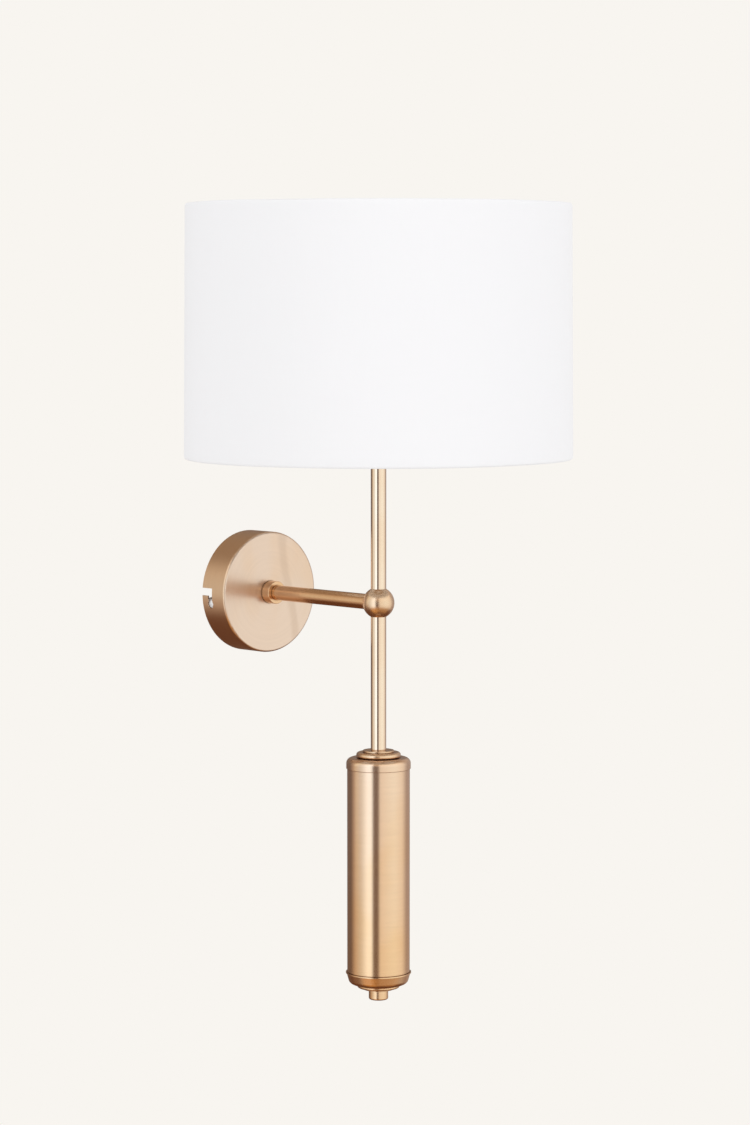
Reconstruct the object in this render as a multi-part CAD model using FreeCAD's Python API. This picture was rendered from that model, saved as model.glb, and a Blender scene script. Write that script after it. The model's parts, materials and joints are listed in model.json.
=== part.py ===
"""Wall sconce: a drum shade on an upright stem, carried by a level arm from a round wall canopy.

Millimetres. The origin is the centre of the wall bracket's back face, on the wall's surface.
+X is to the right of a person who faces the wall, +Y goes into the wall and +Z is up.
Sections turned about the arm are (radius, distance out from the wall).
Sections turned about the stem are (radius, height above the ball's centre).
"""
import FreeCAD
import Part

import math
import os

Vector = FreeCAD.Vector
ORIGIN = Vector(0, 0, 0)
X_AXIS = Vector(1, 0, 0)
Y_AXIS = Vector(0, 1, 0)
Z_AXIS = Vector(0, 0, 1)

# Stem, arm and ball
REACH = 154.0            # wall to the stem's axis
TUBE_R = 6.0             # brass cover tubes of the arm and the stem
TUBE_BORE = 5.2
PIPE_R = 5.0             # threaded pipe inside the cover tubes, M10 x 1
PIPE_BORE = 4.1
THREAD_GAP = 0.03        # between a threaded hole and the pipe in it
PIPE_GAP = 0.1           # between a plain hole and the pipe in it
WASHER_GAP = 0.2
TUBE_GAP = 0.04          # between a ring or collar and the cover tube in it
BALL_R = 12.35
BALL_SEAT = 9.6          # each cover tube stops this far from the ball's centre
PIPE_STOP = 6.6          # each pipe stops this far from the ball's centre
END_RING_R = 6.5
END_RING_FROM = 10.8
END_RING_TO = 12.8
END_RING_EDGE = 0.3
SOFT_EDGE = 0.4          # broken edge of a turned brass part

# Canopy and the wall bracket
CANOPY_R = 48.4
CANOPY_DEPTH = 26.6
CANOPY_WALL = 1.2
CANOPY_EDGE = 1.8        # radius of the front edge
ENTRY_WIDTH = 6.0        # L-shaped slot in the rim: the way in from the back edge
ENTRY_DEPTH = 11.6
ENTRY_RISE = 1.6         # from the level of the canopy's centre to the entry's middle
CHANNEL_WIDTH = 4.9      # the way round to the eye
EYE_R = 3.2              # round end of the slot, which takes the screw's head
EYE_OUT = 9.1            # from the back edge to the eye's centre
EYE_DROP = 8.3           # from the level of the canopy's centre to the eye's centre
LOCK_ANGLE = math.degrees(math.asin(EYE_DROP / CANOPY_R))
STRAP_THICK = 2.0
STRAP_WIDTH = 22.0
STRAP_HALF = 38.0
STRAP_CORNER = 6.0
TAB_HALF = 9.0           # the tab that carries the terminal block
TAB_TOP = 36.0
EAR_WIDTH = 6.8
EAR_FACE = 46.3          # from the centre to the outer face of each ear
EAR_TOP = 12.6
WALL_HOLE_R = 2.5
WALL_HOLE_PCD = 60.0
CABLE_HOLE_R = 6.0
SCREW_R = 2.0            # M4
SIDE_SCREW_TIP = 38.5    # from the centre to the screw's inner end
SIDE_HEAD_R = 3.0
SIDE_HEAD_RIM = 47.3
SIDE_HEAD_TOP = 48.2
DRIVE_SLOT = 0.8         # width of the slot for the driver
DRIVE_DEPTH = 0.9

# Swivel stack inside the canopy. Places are distances out from the wall.
CANOPY_FLOOR = CANOPY_DEPTH - CANOPY_WALL
PIPE_END = 10.0
FRICTION_R = 9.0
FRICTION_THICK = 0.3
STACK_GAP = 0.05         # running gap on each side of the canopy's face
COLLAR_R = 9.1
COLLAR_FROM = CANOPY_DEPTH + STACK_GAP + FRICTION_THICK + 0.05
COLLAR_LENGTH = 8.0
COLLAR_SEAT = 3.6        # how far the arm's tube goes into the collar
INNER_WASHER = 0.6
STOP_WASHER = 1.2
STOP_HUB_R = 9.2
STOP_LOBE_R = 14.0
STOP_PIN_R = 1.5
STOP_PIN_AT = 11.5       # from the arm's axis
STOP_PIN_LENGTH = 2.4
STOP_PLAY = 0.3
SPRING_R = 8.6
SPRING_THICK = 1.0
SPRING_GAP = 0.1
NUT_FLATS = 14.0         # M10 x 1 pipe nuts
NUT_THICK = 4.9
LOCK_NUT_THICK = 3.1
SWIVEL_LIMIT = 90.0      # degrees each way
SWIVEL_BORE_R = 5.08     # canopy's hole, a running fit on the pipe

# Terminal block on the bracket's tab
BLOCK_HALF = 14.0
BLOCK_LOW = 17.0
BLOCK_HIGH = 33.0
BLOCK_OUT = 15.0
BLOCK_CORNER = 1.2
BLOCK_GROOVE = 0.6       # half the width of the groove between two poles
GROOVE_FLOOR = 11.5
POLE_PITCH = 9.0
POLE_OUT = 7.0
POLE_R = 2.65
INSERT_R = 2.6
INSERT_BORE = 1.5
CLAMP_HOLE_R = 1.8
CLAMP_TAP_R = 1.55
CLAMP_R = 1.5
CLAMP_INSET = 4.5        # from the block's top or foot to each clamp screw
CLAMP_FOOT = 8.1
CLAMP_HEAD = 13.4
CLAMP_SLOT = 0.6
CORE_INSET = 3.5         # how far a core goes into the block

# Earth screw, tag and lead
EARTH_AT = 17.0
TAG_THICK = 0.8
TAG_R = 4.0
TAG_TAIL = 1.4
BARREL_OUT = 3.6
BARREL_R = 1.5
BARREL_FROM = 4.6
BARREL_TO = 9.0
EARTH_HEAD_R = 3.4
EARTH_HEAD_TOP = 5.2
LEAD_SIDE = 18.5         # where the earth lead passes beside the block
LEAD_TOP = 38.5

# Counterweight, heights below the ball's centre
WEIGHT_R = 24.4
WEIGHT_WALL = 1.0
NECK_DISC_R = 12.2
NECK_RING_R = 17.35
NECK_TOP = -114.9
NECK_STEP = -116.4
CAP_TOP = -120.7
CAP_R = 25.1
CAP_SHOULDER = 4.4       # radius of the top cap's shoulder
CAP_SKIRT = -129.3
CAP_BEVEL = 0.3
TUBE_TOP = -126.0
TUBE_FOOT = -288.8
LIP_R = 25.5
LIP = 0.9
LIP_GROOVE = 0.4         # shadow line between the tube's foot and the lip
LIP_GROOVE_R = 23.9
BOWL_RIM_R = 24.9
BOWL_FLAT_R = 19.1
BOWL_FOOT = -298.8
BOWL_CURVE = 4.5         # radius between the bowl's flat foot and its side
BOWL_LEAN = 14.0         # degrees by which the bowl's side leans in
BOWL_WALL = 1.6
SPIGOT = 5.5
SPIGOT_WALL = 1.2
FOOT_RING_R = 16.6
FOOT_RING = -301.8
KNOB_TOP = -303.1
KNOB_FOOT = -311.2
KNOB_R = 7.6
KNOB_EDGE = 1.4
TIE_ROD_FOOT = -307.6
TIE_ROD_BORE = 3.2
BALLAST_R = 22.6
BALLAST_LOW = -280.0
BALLAST_LENGTH = 14.0
BALLAST_NUT = 4.0
BALLAST_GAP = 0.1

# Lampholder, heights above the ball's centre
STEM_TOP = 133.0
STEM_PIPE_TOP = 143.0
HOLDER_NECK_R = 8.5
HOLDER_NECK = 3.0
HOLDER_FLOOR = 5.4
HOLDER_CAP_R = 19.2
HOLDER_CAP_BORE = 17.6
HOLDER_CAP_TOP = 156.0
HOLDER_R = 19.6
HOLDER_BORE = 16.2
SLEEVE_FOOT = 156.2
SLEEVE_TOP = 188.0
FLANGE_R = 24.0
FLANGE_LOW = 160.0
FLANGE_HIGH = 162.3
INSERT_FOOT = 156.5
INSERT_TOP = 163.0
CERAMIC_R = 15.9
TERMINAL_AT = 8.0        # from the stem's axis
TERMINAL_R = 1.3
TERMINAL_HOLE_R = 1.35
TERMINAL_FOOT = 152.0
SHELL_R = 14.3
SHELL_BORE = 13.6
SHELL_HOLE_R = 6.0
SHELL_FOOT = 163.1
SHELL_TOP = 187.0
SHELL_WALL = 0.6
CONTACT_R = 3.6
CONTACT_TIP_R = 2.2
CONTACT_TOP = 164.5

# Lamp
LAMP_TIP = 165.1
TIP_HEIGHT = 1.5
TIP_R = 4.2
INSULATOR_HEIGHT = 2.8
INSULATOR_R = 9.4
LAMP_CAP_R = 13.2
LAMP_CAP_HEIGHT = 20.6
LAMP_CAP_WALL = 0.5
LAMP_CAP_HOLE_R = 4.5
GLOBE_R = 30.0
GLOBE_AT = 243.0
GLOBE_FOOT = 225.0
GLOBE_WALL = 0.9
LAMP_GAP = 0.05

# Shade
SHADE_LOW = 111.7
SHADE_HIGH = 307.75
SHADE_R_LOW = 150.0
SHADE_R_HIGH = 148.5
FABRIC = 0.6
FABRIC_TURN = 0.5        # thickness of the edge turned in over the wire rings
SHADE_LIP = 4.0          # how far it is turned in
LINER = 0.5
LINER_GAP = 0.06
WIRE_R = 1.5
WIRE_GAP = 0.2
WIRE_INSET = 0.6         # from the shade's top or foot to its wire ring
FITTER_LOW = 162.7
FITTER_HIGH = 164.2
FITTER_BORE = 20.6
FITTER_R = 29.0
SHADE_RING_LOW = 164.6
SHADE_RING_HIGH = 174.6
SHADE_RING_R = 25.2
RING_RIBS = 24
RIB_GROOVE_R = 0.9
RIB_AT = 25.6

FLEX_R = 2.0
CORE_R = 0.8
THROUGH = 1.0            # how far a cutting shape runs past what it cuts


def face_of(points):
    """A flat face in the XZ plane. A plain pair is a corner, and ("arc", middle, end) a curve."""
    first = Vector(points[0][0], 0, points[0][1])
    here = first
    edges = []
    for item in points[1:]:
        if item[0] == "arc":
            middle = Vector(item[1][0], 0, item[1][1])
            end = Vector(item[2][0], 0, item[2][1])
            edges.append(Part.Arc(here, middle, end).toShape())
        else:
            end = Vector(item[0], 0, item[1])
            edges.append(Part.makeLine(here, end))
        here = end
    if here.distanceToPoint(first) > 1e-6:
        edges.append(Part.makeLine(here, first))
    return Part.Face(Part.Wire(edges))


def turned(points):
    return face_of(points).revolve(ORIGIN, Z_AXIS, 360)


def on_stem(points):
    """A part turned about the stem's axis."""
    shape = turned(points)
    shape.translate(Vector(0, -REACH, 0))
    return shape


def on_arm(points):
    """A part turned about the arm's axis, with its second coordinate out from the wall."""
    shape = turned(points)
    shape.rotate(ORIGIN, X_AXIS, 90)
    return shape


def tube(bore, radius, start, end):
    return [(bore, start), (radius, start), (radius, end), (bore, end)]


def quarter(center, radius, start_angle, end_angle):
    """An arc item from start_angle to end_angle, in degrees about center."""
    middle_angle = (start_angle + end_angle) / 2
    places = []
    for angle in (middle_angle, end_angle):
        turn = math.radians(angle)
        places.append((center[0] + radius * math.cos(turn), center[1] + radius * math.sin(turn)))
    return ("arc", places[0], places[1])


def out(x, distance, height):
    """A point given by its distance out from the wall."""
    return Vector(x, -distance, height)


def rod(start, end, radius):
    return Part.makeCylinder(radius, (end - start).Length, start, end - start)


def block(low, high):
    """A box between two corners, each (x, distance out, height)."""
    a = out(*low)
    b = out(*high)
    corner = Vector(min(a.x, b.x), min(a.y, b.y), min(a.z, b.z))
    return Part.makeBox(abs(a.x - b.x), abs(a.y - b.y), abs(a.z - b.z), corner)


def hexagon(across_flats, start, end):
    """A hexagonal prism about the arm's axis."""
    corner_r = across_flats / math.sqrt(3)
    corners = []
    for k in range(7):
        turn = math.radians(60 * k)
        corners.append(out(corner_r * math.cos(turn), start, corner_r * math.sin(turn)))
    return Part.Face(Part.makePolygon(corners)).extrude(out(0, end - start, 0))


def wire_along(points, radius, bend):
    """A round wire along straight runs, joined by tangent arcs of the given bend radius."""
    edges = []
    here = points[0]
    for before, corner, after in zip(points, points[1:], points[2:]):
        back = (before - corner).normalize()
        ahead = (after - corner).normalize()
        half = back.getAngle(ahead) / 2
        reach = bend / math.tan(half)
        start = corner + back * reach
        end = corner + ahead * reach
        inward = (back + ahead).normalize()
        middle = corner + inward * (bend / math.sin(half) - bend)
        edges.append(Part.makeLine(here, start))
        edges.append(Part.Arc(start, middle, end).toShape())
        here = end
    edges.append(Part.makeLine(here, points[-1]))
    path = Part.Wire(edges)
    section = Part.Wire(Part.makeCircle(radius, points[0], points[1] - points[0]))
    return path.makePipeShell([section], True, True)


def locked(shape):
    """Turns a part of the bracket to the angle at which the canopy is locked on it."""
    shape.rotate(ORIGIN, Y_AXIS, -LOCK_ANGLE)
    return shape


def together(shapes):
    return Part.makeCompound(shapes)


# ---- the bracket, which stays on the wall ----

def hole_through_strap(x, radius):
    return rod(out(x, -THROUGH, 0), out(x, STRAP_THICK + THROUGH, 0), radius)


def wall_bracket():
    strap = block((-STRAP_HALF, 0, -STRAP_WIDTH / 2), (STRAP_HALF, STRAP_THICK, STRAP_WIDTH / 2))
    corners = [e for e in strap.Edges if abs(e.BoundBox.YLength - STRAP_THICK) < 1e-6]
    strap = strap.makeFillet(STRAP_CORNER, corners)
    half = EAR_WIDTH / 2
    strap = strap.fuse(block((-TAB_HALF, 0, 0), (TAB_HALF, STRAP_THICK, TAB_TOP)))
    for side in (-1, 1):
        foot = block((0, 0, -half), (side * EAR_FACE, STRAP_THICK, half))
        ear = block((side * (EAR_FACE - STRAP_THICK), 0, -half), (side * EAR_FACE, EAR_TOP, half))
        tap_from = out(side * (EAR_FACE - STRAP_THICK - THROUGH), EYE_OUT, 0)
        tap_to = out(side * (EAR_FACE + THROUGH), EYE_OUT, 0)
        strap = strap.fuse(foot).fuse(ear).cut(rod(tap_from, tap_to, SCREW_R + THREAD_GAP))
        strap = strap.cut(hole_through_strap(side * WALL_HOLE_PCD / 2, WALL_HOLE_R))
    strap = strap.cut(hole_through_strap(0, CABLE_HOLE_R))
    strap = strap.cut(hole_through_strap(EARTH_AT, SCREW_R + THREAD_GAP))
    return locked(strap.removeSplitter())


def bracket_side_screws():
    """Raised-head screws in the bracket's ears, with their heads in the eyes of the slots."""
    half_slot = DRIVE_SLOT / 2
    screws = []
    for side in (-1, 1):
        shank = rod(out(side * SIDE_SCREW_TIP, EYE_OUT, 0), out(side * EAR_FACE, EYE_OUT, 0), SCREW_R)
        head = turned([
            (0, EAR_FACE),
            (SIDE_HEAD_R, EAR_FACE),
            (SIDE_HEAD_R, SIDE_HEAD_RIM),
            ("arc", (SIDE_HEAD_R * 0.6, SIDE_HEAD_TOP - 0.3), (0, SIDE_HEAD_TOP)),
        ])
        head.rotate(ORIGIN, Y_AXIS, 90 * side)
        head.translate(out(0, EYE_OUT, 0))
        floor = side * (SIDE_HEAD_TOP - DRIVE_DEPTH)
        end = side * (SIDE_HEAD_TOP + THROUGH)
        drive = block((floor, EYE_OUT - half_slot, -EYE_R), (end, EYE_OUT + half_slot, EYE_R))
        screws.append(locked(shank.fuse(head).cut(drive).removeSplitter()))
    return together(screws)


def pole_places():
    return [-POLE_PITCH, 0, POLE_PITCH]


def clamp_heights():
    return [BLOCK_LOW + CLAMP_INSET, BLOCK_HIGH - CLAMP_INSET]


def terminal_block():
    body = block((-BLOCK_HALF, STRAP_THICK, BLOCK_LOW), (BLOCK_HALF, BLOCK_OUT, BLOCK_HIGH))
    upright = [e for e in body.Edges if abs(e.BoundBox.YLength - BLOCK_OUT + STRAP_THICK) < 1e-6]
    body = body.makeFillet(BLOCK_CORNER, upright)
    low = BLOCK_LOW - THROUGH
    high = BLOCK_HIGH + THROUGH
    for x in (-POLE_PITCH / 2, POLE_PITCH / 2):
        left = x - BLOCK_GROOVE
        right = x + BLOCK_GROOVE
        body = body.cut(block((left, GROOVE_FLOOR, low), (right, BLOCK_OUT + THROUGH, high)))
    for x in pole_places():
        body = body.cut(rod(out(x, POLE_OUT, low), out(x, POLE_OUT, high), POLE_R))
        for height in clamp_heights():
            mouth = out(x, BLOCK_OUT + THROUGH, height)
            body = body.cut(rod(out(x, POLE_OUT, height), mouth, CLAMP_HOLE_R))
    return locked(body)


def terminal_inserts():
    inserts = []
    for x in pole_places():
        low = out(x, POLE_OUT, BLOCK_LOW + THROUGH)
        high = out(x, POLE_OUT, BLOCK_HIGH - THROUGH)
        sleeve = rod(low, high, INSERT_R).cut(rod(low, high, INSERT_BORE))
        for height in clamp_heights():
            mouth = out(x, POLE_OUT + INSERT_R + THROUGH, height)
            sleeve = sleeve.cut(rod(out(x, POLE_OUT, height), mouth, CLAMP_TAP_R))
        inserts.append(locked(sleeve))
    return together(inserts)


def terminal_screws():
    screws = []
    half = CLAMP_SLOT / 2
    for x in pole_places():
        for height in clamp_heights():
            screw = rod(out(x, CLAMP_FOOT, height), out(x, CLAMP_HEAD, height), CLAMP_R)
            low = (x - half, CLAMP_HEAD - DRIVE_DEPTH, height - 2 * CLAMP_R)
            high = (x + half, CLAMP_HEAD + THROUGH, height + 2 * CLAMP_R)
            screws.append(locked(screw.cut(block(low, high))))
    return together(screws)


def earth_tag():
    """Ring terminal and barrel on the bracket's earth screw."""
    tag_top = STRAP_THICK + TAG_THICK
    ring = rod(out(EARTH_AT, STRAP_THICK, 0), out(EARTH_AT, tag_top, 0), TAG_R)
    tail_low = (EARTH_AT - TAG_TAIL, STRAP_THICK, TAG_R / 2)
    tail_high = (EARTH_AT + TAG_TAIL, tag_top, BARREL_TO - 1)
    tail = block(tail_low, tail_high)
    barrel = rod(out(EARTH_AT, BARREL_OUT, BARREL_FROM), out(EARTH_AT, BARREL_OUT, BARREL_TO), BARREL_R)
    tag = ring.fuse(tail).fuse(barrel)
    hole_end = out(EARTH_AT, tag_top + THROUGH, 0)
    return locked(tag.cut(rod(out(EARTH_AT, THROUGH, 0), hole_end, SCREW_R + PIPE_GAP)))


def earth_screw():
    tag_top = STRAP_THICK + TAG_THICK
    half_slot = DRIVE_SLOT / 2
    shank = rod(out(EARTH_AT, 0.1, 0), out(EARTH_AT, tag_top, 0), SCREW_R)
    head = rod(out(EARTH_AT, tag_top, 0), out(EARTH_AT, EARTH_HEAD_TOP, 0), EARTH_HEAD_R)
    low = (EARTH_AT - EARTH_HEAD_R - THROUGH, EARTH_HEAD_TOP - DRIVE_DEPTH, -half_slot)
    high = (EARTH_AT + EARTH_HEAD_R + THROUGH, EARTH_HEAD_TOP + THROUGH, half_slot)
    return locked(shank.fuse(head).cut(block(low, high)).removeSplitter())


def canopy():
    front = CANOPY_DEPTH
    inner_r = CANOPY_R - CANOPY_WALL
    inner_edge = CANOPY_EDGE - CANOPY_WALL
    cup = on_arm([
        (CANOPY_R, 0),
        (CANOPY_R, front - CANOPY_EDGE),
        quarter((CANOPY_R - CANOPY_EDGE, front - CANOPY_EDGE), CANOPY_EDGE, 0, 90),
        (SWIVEL_BORE_R, front),
        (SWIVEL_BORE_R, CANOPY_FLOOR),
        (inner_r - inner_edge, CANOPY_FLOOR),
        quarter((inner_r - inner_edge, CANOPY_FLOOR - inner_edge), inner_edge, 90, 0),
        (inner_r, 0),
    ])
    far = -CANOPY_R - THROUGH
    near = EAR_FACE - 2 * CANOPY_EDGE
    entry_low = ENTRY_RISE - ENTRY_WIDTH / 2
    entry_high = ENTRY_RISE + ENTRY_WIDTH / 2
    entry = block((far, -THROUGH, entry_low), (-near, ENTRY_DEPTH, entry_high))
    channel = block((far, ENTRY_DEPTH - CHANNEL_WIDTH, -EYE_DROP), (-near, ENTRY_DEPTH, entry_high))
    eye = locked(rod(out(-near, EYE_OUT, 0), out(far - THROUGH, EYE_OUT, 0), EYE_R))
    slot = entry.fuse(channel).fuse(eye)
    other = slot.copy()
    other.rotate(ORIGIN, Y_AXIS, 180)
    return cup.cut(slot).cut(other)


def stop_pin():
    """Rivet inside the canopy's face, which the stop washer's lobe meets at each end of travel."""
    foot = out(0, CANOPY_FLOOR - STOP_PIN_LENGTH, -STOP_PIN_AT)
    return rod(foot, out(0, CANOPY_FLOOR, -STOP_PIN_AT), STOP_PIN_R)


# Where the flexible cable's sheath ends on its way to the terminal block
SHEATH_OUT = 5.2
SHEATH_END = 10.0


def flex_in_canopy():
    route = [out(0, PIPE_END - 0.1, 0), out(0, SHEATH_OUT, 0), out(0, SHEATH_OUT, SHEATH_END)]
    return locked(wire_along(route, FLEX_R, 3.4))


def canopy_cores():
    starts = [(-1.0, SHEATH_OUT - 0.6), (0.0, SHEATH_OUT + 1.0), (1.0, SHEATH_OUT - 0.6)]
    cores = []
    for x, (start_x, start_out) in zip(pole_places(), starts):
        route = [
            out(start_x, start_out, SHEATH_END),
            out(start_x, start_out, SHEATH_END + 1.5),
            out(x, POLE_OUT, BLOCK_LOW - 1),
            out(x, POLE_OUT, BLOCK_LOW + CORE_INSET),
        ]
        cores.append(locked(wire_along(route, CORE_R, 1.6)))
    return together(cores)


def earth_lead():
    route = [
        out(EARTH_AT, BARREL_OUT, BARREL_TO),
        out(EARTH_AT, BARREL_OUT, BARREL_TO + 5),
        out(LEAD_SIDE, POLE_OUT - 0.5, BLOCK_LOW + 5),
        out(LEAD_SIDE, POLE_OUT - 0.5, LEAD_TOP),
        out(POLE_PITCH, POLE_OUT, LEAD_TOP),
        out(POLE_PITCH, POLE_OUT, BLOCK_HIGH - CORE_INSET),
    ]
    return locked(wire_along(route, CORE_R, 2.6))


# ---- the arm, ball, stem and swivel stack ----

def stop_washer(low):
    """Washer locked on the pipe, with a lobe that turns round to meet the stop pin."""
    play = math.degrees(math.asin((STOP_PIN_R + STOP_PLAY) / STOP_PIN_AT))
    half = 180 - SWIVEL_LIMIT - play
    root_r = STOP_HUB_R - 2
    corners = []
    for radius, angle in ((STOP_LOBE_R, half), (STOP_LOBE_R, -half), (root_r, -half), (root_r, half)):
        turn = math.radians(angle)
        corners.append(out(radius * math.sin(turn), low, radius * math.cos(turn)))
    outer = Part.Arc(corners[0], out(0, low, STOP_LOBE_R), corners[1]).toShape()
    side = Part.makeLine(corners[1], corners[2])
    inner = Part.Arc(corners[2], out(0, low, root_r), corners[3]).toShape()
    other = Part.makeLine(corners[3], corners[0])
    lobe = Part.Face(Part.Wire([outer, side, inner, other])).extrude(out(0, STOP_WASHER, 0))
    hub = on_arm(tube(PIPE_R + THREAD_GAP, STOP_HUB_R, low, low + STOP_WASHER))
    return hub.fuse(lobe).removeSplitter()


def pipe_nut(end, thickness):
    """A nut on the arm's pipe, from end back towards the wall."""
    start = end - thickness
    nut = hexagon(NUT_FLATS, start, end)
    return nut.cut(rod(out(0, start - THROUGH, 0), out(0, end + THROUGH, 0), PIPE_R + THREAD_GAP))


def arm_collar():
    end = COLLAR_FROM + COLLAR_LENGTH
    bore = PIPE_R + PIPE_GAP
    seat = TUBE_R + TUBE_GAP
    return on_arm([
        (bore, COLLAR_FROM),
        (COLLAR_R - SOFT_EDGE, COLLAR_FROM),
        (COLLAR_R, COLLAR_FROM + SOFT_EDGE),
        (COLLAR_R, end - SOFT_EDGE),
        quarter((COLLAR_R - SOFT_EDGE, end - SOFT_EDGE), SOFT_EDGE, 0, 90),
        (seat, end),
        (seat, end - COLLAR_SEAT),
        (bore, end - COLLAR_SEAT),
    ])


def arm_end_ring():
    near = REACH - END_RING_TO
    far = REACH - END_RING_FROM
    flat_r = END_RING_R - END_RING_EDGE
    return on_arm([
        (TUBE_R + TUBE_GAP, near),
        (flat_r, near),
        quarter((flat_r, near + END_RING_EDGE), END_RING_EDGE, -90, 0),
        (END_RING_R, far - END_RING_EDGE),
        quarter((flat_r, far - END_RING_EDGE), END_RING_EDGE, 0, 90),
        (TUBE_R + TUBE_GAP, far),
    ])


def ball_joint():
    """Solid ball with a thread for each of the three pipes and a seat for each cover tube."""
    center = out(0, REACH, 0)
    ball = Part.makeSphere(BALL_R, center)
    thread = PIPE_R + THREAD_GAP
    seat = TUBE_R + THREAD_GAP
    for way in (Z_AXIS, Z_AXIS * -1, Y_AXIS):
        end = center + way * (BALL_R + THROUGH)
        ball = ball.cut(rod(center, end, thread))
        ball = ball.cut(rod(center + way * BALL_SEAT, end, seat))
    return ball


def flex_in_arm():
    route = [out(0, PIPE_END + 0.1, 0), out(0, REACH, 0), out(0, REACH, STEM_PIPE_TOP)]
    return wire_along(route, FLEX_R, 5.5)


def swivel_stack():
    """What clamps the arm in the canopy, from outside the canopy's face inwards."""
    outside = CANOPY_DEPTH + STACK_GAP
    inner_top = CANOPY_FLOOR - STACK_GAP
    stop_top = inner_top - INNER_WASHER - STACK_GAP
    spring_top = stop_top - STOP_WASHER - SPRING_GAP
    nut_top = spring_top - SPRING_THICK - SPRING_GAP
    lock_top = nut_top - NUT_THICK - SPRING_GAP
    bore = PIPE_R + WASHER_GAP
    return {
        "arm_friction_washer": on_arm(tube(bore, FRICTION_R, outside, outside + FRICTION_THICK)),
        "inner_friction_washer": on_arm(tube(bore, FRICTION_R, inner_top - INNER_WASHER, inner_top)),
        "stop_washer": stop_washer(stop_top - STOP_WASHER),
        "spring_washer": on_arm(tube(bore, SPRING_R, spring_top - SPRING_THICK, spring_top)),
        "swivel_nut": pipe_nut(nut_top, NUT_THICK),
        "swivel_lock_nut": pipe_nut(lock_top, LOCK_NUT_THICK),
    }


def stem_and_arm():
    tube_from = COLLAR_FROM + COLLAR_LENGTH - COLLAR_SEAT
    return {
        "arm_collar": arm_collar(),
        "arm_tube": on_arm(tube(TUBE_BORE, TUBE_R, tube_from, REACH - BALL_SEAT)),
        "arm_pipe": on_arm(tube(PIPE_BORE, PIPE_R, PIPE_END, REACH - PIPE_STOP)),
        "arm_end_ring": arm_end_ring(),
        "ball_joint": ball_joint(),
        "stem_upper_tube": on_stem(tube(TUBE_BORE, TUBE_R, BALL_SEAT, STEM_TOP)),
        "stem_upper_pipe": on_stem(tube(PIPE_BORE, PIPE_R, PIPE_STOP, STEM_PIPE_TOP)),
        "stem_lower_tube": on_stem(tube(TUBE_BORE, TUBE_R, NECK_TOP, -BALL_SEAT)),
        "tie_rod": on_stem(tube(TIE_ROD_BORE, PIPE_R, TIE_ROD_FOOT, -PIPE_STOP)),
        "flex_in_arm": flex_in_arm(),
    }


# ---- the counterweight under the stem ----

def neck_disc(top, foot):
    """Small disc with softened edges."""
    bore = PIPE_R + PIPE_GAP
    flat_r = NECK_DISC_R - SOFT_EDGE
    return on_stem([
        (bore, foot),
        (flat_r, foot),
        quarter((flat_r, foot + SOFT_EDGE), SOFT_EDGE, -90, 0),
        (NECK_DISC_R, top - SOFT_EDGE),
        quarter((flat_r, top - SOFT_EDGE), SOFT_EDGE, 0, 90),
        (bore, top),
    ])


def bead_ring(radius, top, foot):
    """Disc with a half-round edge."""
    bore = PIPE_R + PIPE_GAP
    bead = (top - foot) / 2
    return on_stem([
        (bore, foot),
        (radius - bead, foot),
        quarter((radius - bead, foot + bead), bead, -90, 90),
        (bore, top),
    ])


def weight_top_cap():
    bore = PIPE_R + PIPE_GAP
    skirt_bore = WEIGHT_R + 0.05
    shoulder_at = (CAP_R - CAP_SHOULDER, CAP_TOP - CAP_SHOULDER)
    return on_stem([
        (bore, CAP_TOP),
        (CAP_R - CAP_SHOULDER, CAP_TOP),
        quarter(shoulder_at, CAP_SHOULDER, 90, 0),
        (CAP_R, CAP_SKIRT + CAP_BEVEL),
        (CAP_R - CAP_BEVEL, CAP_SKIRT),
        (skirt_bore, CAP_SKIRT),
        (skirt_bore, CAP_TOP - CAP_SHOULDER),
        (CAP_R - WEIGHT_WALL, CAP_TOP - CAP_SHOULDER),
        quarter(shoulder_at, CAP_SHOULDER - WEIGHT_WALL, 0, 90),
        (bore, CAP_TOP - WEIGHT_WALL),
    ])


def weight_bottom_cap():
    """Bowl with a thin lip under the tube and a spigot inside it."""
    spigot_r = WEIGHT_R - WEIGHT_WALL - PIPE_GAP
    inner_r = spigot_r - SPIGOT_WALL
    bore = PIPE_R + PIPE_GAP
    bend_at = (BOWL_FLAT_R, BOWL_FOOT + BOWL_CURVE)
    lip_top = TUBE_FOOT - LIP_GROOVE
    lean = math.radians(BOWL_LEAN)
    inner_bend = BOWL_CURVE - BOWL_WALL
    return on_stem([
        (bore, BOWL_FOOT),
        (BOWL_FLAT_R, BOWL_FOOT),
        quarter(bend_at, BOWL_CURVE, -90, -BOWL_LEAN),
        (BOWL_RIM_R, lip_top - LIP),
        (LIP_R, lip_top - LIP),
        (LIP_R, lip_top),
        (LIP_GROOVE_R, lip_top),
        (LIP_GROOVE_R, TUBE_FOOT),
        (spigot_r, TUBE_FOOT),
        (spigot_r, TUBE_FOOT + SPIGOT),
        (inner_r, TUBE_FOOT + SPIGOT),
        (inner_r, lip_top - LIP),
        (bend_at[0] + inner_bend * math.cos(lean), bend_at[1] - inner_bend * math.sin(lean)),
        quarter(bend_at, inner_bend, -BOWL_LEAN, -90),
        (bore, BOWL_FOOT + BOWL_WALL),
    ])


def finial_knob():
    thread = PIPE_R + THREAD_GAP
    thread_end = TIE_ROD_FOOT - WASHER_GAP
    return on_stem([
        (0, KNOB_FOOT),
        (KNOB_R - KNOB_EDGE, KNOB_FOOT),
        quarter((KNOB_R - KNOB_EDGE, KNOB_FOOT + KNOB_EDGE), KNOB_EDGE, -90, 0),
        (KNOB_R, KNOB_TOP - SOFT_EDGE),
        (KNOB_R - SOFT_EDGE, KNOB_TOP),
        (thread, KNOB_TOP),
        (thread, thread_end),
        (0, thread_end),
    ])


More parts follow.
